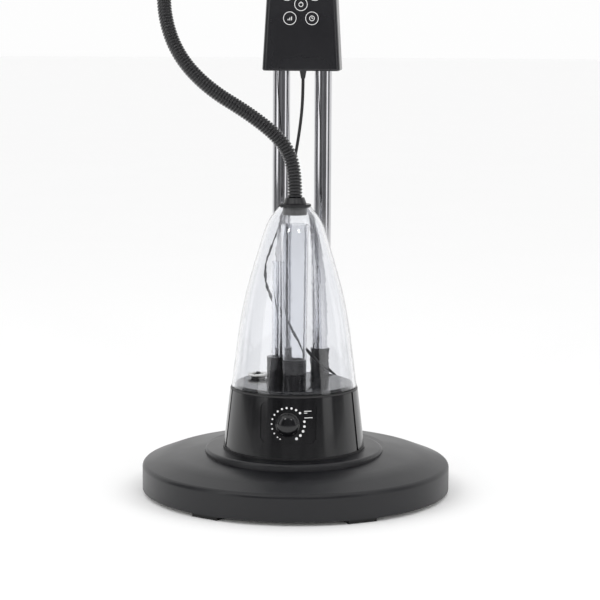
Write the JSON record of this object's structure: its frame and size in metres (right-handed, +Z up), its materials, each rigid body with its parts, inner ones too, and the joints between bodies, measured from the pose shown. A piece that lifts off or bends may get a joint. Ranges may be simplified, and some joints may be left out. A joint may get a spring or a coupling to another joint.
{
  "type": "misting pedestal fan",
  "caption": "Pedestal fan with a round base, chrome pole column, clear water tank on an ultrasonic mist unit, and a ribbed hose that carries the mist up to the fan head.",
  "frame": {"origin": "on the floor under the middle of the round base", "axes": "+Z up, -Y towards the side that the mist dial, the keys and the fan's air face, +X to the right seen from there"},
  "size_m": [0.4399, 0.387, 1.232],
  "materials": {
    "charcoal_shell": "fine matte grain, moulded",
    "rubber_black": "matte",
    "zinc_steel": "zinc plated",
    "cast_weight": "as cast",
    "chrome_tube": "polished",
    "gloss_black": "high gloss",
    "inner_black": "satin",
    "cap_black": "satin",
    "clear_plastic": "clear, slightly cool",
    "white_plastic": "satin",
    "board_green": "solder resist",
    "motor_steel": "machined",
    "disc_brass": "plain",
    "cast_aluminium": "as cast",
    "box_black": "satin",
    "head_black": "satin",
    "guard_black": "semi-gloss powder coat",
    "blade_smoke": "gloss",
    "hose_black": "satin, corrugated",
    "cable_black": "matte"
  },
  "bodies": {
    "stand": {"base_cover": "charcoal_shell", "base_feet": "rubber_black", "base_plate": "zinc_steel", "base_screws": "zinc_steel", "base_weight": "cast_weight", "basin": "inner_black", "blower_motor": "motor_steel", "cable_gland": "cap_black", "chimney_tube": "clear_plastic", "control_board": "board_green", "control_front": "box_black", "control_rear": "box_black", "driver_board": "board_green", "hose_collar": "cap_black", "humidifier_chassis": "inner_black", "humidifier_front_panel": "gloss_black", "humidifier_rear_shell": "gloss_black", "left_pole": "chrome_tube", "level_tube": "clear_plastic", "mist_hose": "hose_black", "oscillation_motor": "motor_steel", "pivot_post": "motor_steel", "pole_bolts": "zinc_steel", "pole_head": "cast_aluminium", "pole_socket": "cap_black", "potentiometer": "inner_black", "power_cable": "cable_black", "right_pole": "chrome_tube", "tank_base_plate": "inner_black", "tank_seal": "rubber_black", "top_cap": "cap_black", "transducer": "disc_brass", "water_tank": "clear_plastic"},
    "mist_dial": {"mist_knob": "gloss_black"},
    "off_button": {"key_off": "box_black"},
    "speed_button": {"key_speed": "box_black"},
    "timer_button": {"key_timer": "box_black"},
    "mist_button": {"key_mist": "box_black"},
    "swing_button": {"key_swing": "box_black"},
    "level_float": {"water_float": "white_plastic"},
    "valve": {"tank_valve": "inner_black"},
    "blower": {"blower_wheel": "inner_black"},
    "swing_crank": {"oscillation_crank": "inner_black"},
    "swing_yoke": {"yoke": "head_black", "tilt_pin": "zinc_steel", "nozzle_bracket": "cap_black", "mist_nozzle": "cap_black"},
    "tilt_clamp": {"tilt_knob": "gloss_black"},
    "fan_head": {"tilt_tongue": "head_black", "motor_rear_cover": "head_black", "motor_front_cover": "head_black", "motor_stator": "motor_steel", "motor_bearings": "motor_steel", "rear_guard": "guard_black", "guard_nut": "cap_black", "front_guard": "guard_black", "guard_ring": "cap_black"},
    "impeller": {"motor_rotor": "motor_steel", "fan_blade": "blade_smoke", "spinner_nut": "cap_black"}
  },
  "joints": [
    {"name": "mist_dial_turn", "type": "hinge", "parent": "stand", "child": "mist_dial", "pos_m": [0, -0.11097, 0.1056], "axis": [0, -0.9934, 0.1146], "range_deg": [0, 270]},
    {"name": "off_press", "type": "slide", "parent": "stand", "child": "off_button", "axis": [0, 1, 0], "range_m": [0, 0.0012], "stiffness_N_per_m": 400},
    {"name": "speed_press", "type": "slide", "parent": "stand", "child": "speed_button", "axis": [0, 1, 0], "range_m": [0, 0.0012], "stiffness_N_per_m": 400},
    {"name": "timer_press", "type": "slide", "parent": "stand", "child": "timer_button", "axis": [0, 1, 0], "range_m": [0, 0.0012], "stiffness_N_per_m": 400},
    {"name": "mist_press", "type": "slide", "parent": "stand", "child": "mist_button", "axis": [0, 1, 0], "range_m": [0, 0.0012], "stiffness_N_per_m": 400},
    {"name": "swing_press", "type": "slide", "parent": "stand", "child": "swing_button", "axis": [0, 1, 0], "range_m": [0, 0.0012], "stiffness_N_per_m": 400},
    {"name": "float_rise", "type": "slide", "parent": "stand", "child": "level_float", "axis": [0, 0, 1], "range_m": [0, 0.01]},
    {"name": "valve_lift", "type": "slide", "parent": "stand", "child": "valve", "axis": [0, 0, 1], "range_m": [0, 0.003], "stiffness_N_per_m": 150},
    {"name": "blower_spin", "type": "hinge", "parent": "stand", "child": "blower", "pos_m": [-0.04, -0.028, 0.09], "axis": [0, 0, 1], "continuous": true},
    {"name": "crank_spin", "type": "hinge", "parent": "stand", "child": "swing_crank", "pos_m": [0.0215, 0.06, 0.74], "axis": [0, 0, 1], "continuous": true},
    {"name": "swing", "type": "hinge", "parent": "stand", "child": "swing_yoke", "pos_m": [0, 0.07, 0.78], "axis": [0, 0, 1], "range_deg": [-40, 40], "deforming": ["mist_hose"]},
    {"name": "tilt", "type": "hinge", "parent": "swing_yoke", "child": "fan_head", "pos_m": [0, 0.07, 0.925], "axis": [-1, 0, 0], "range_deg": [-10, 25]},
    {"name": "tilt_knob_turn", "type": "hinge", "parent": "swing_yoke", "child": "tilt_clamp", "pos_m": [0.025, 0.07, 0.925], "axis": [1, 0, 0], "range_deg": [-90, 90]},
    {"name": "fan_spin", "type": "hinge", "parent": "fan_head", "child": "impeller", "pos_m": [0, 0, 1.012], "axis": [0, -1, 0], "continuous": true}
  ]
}
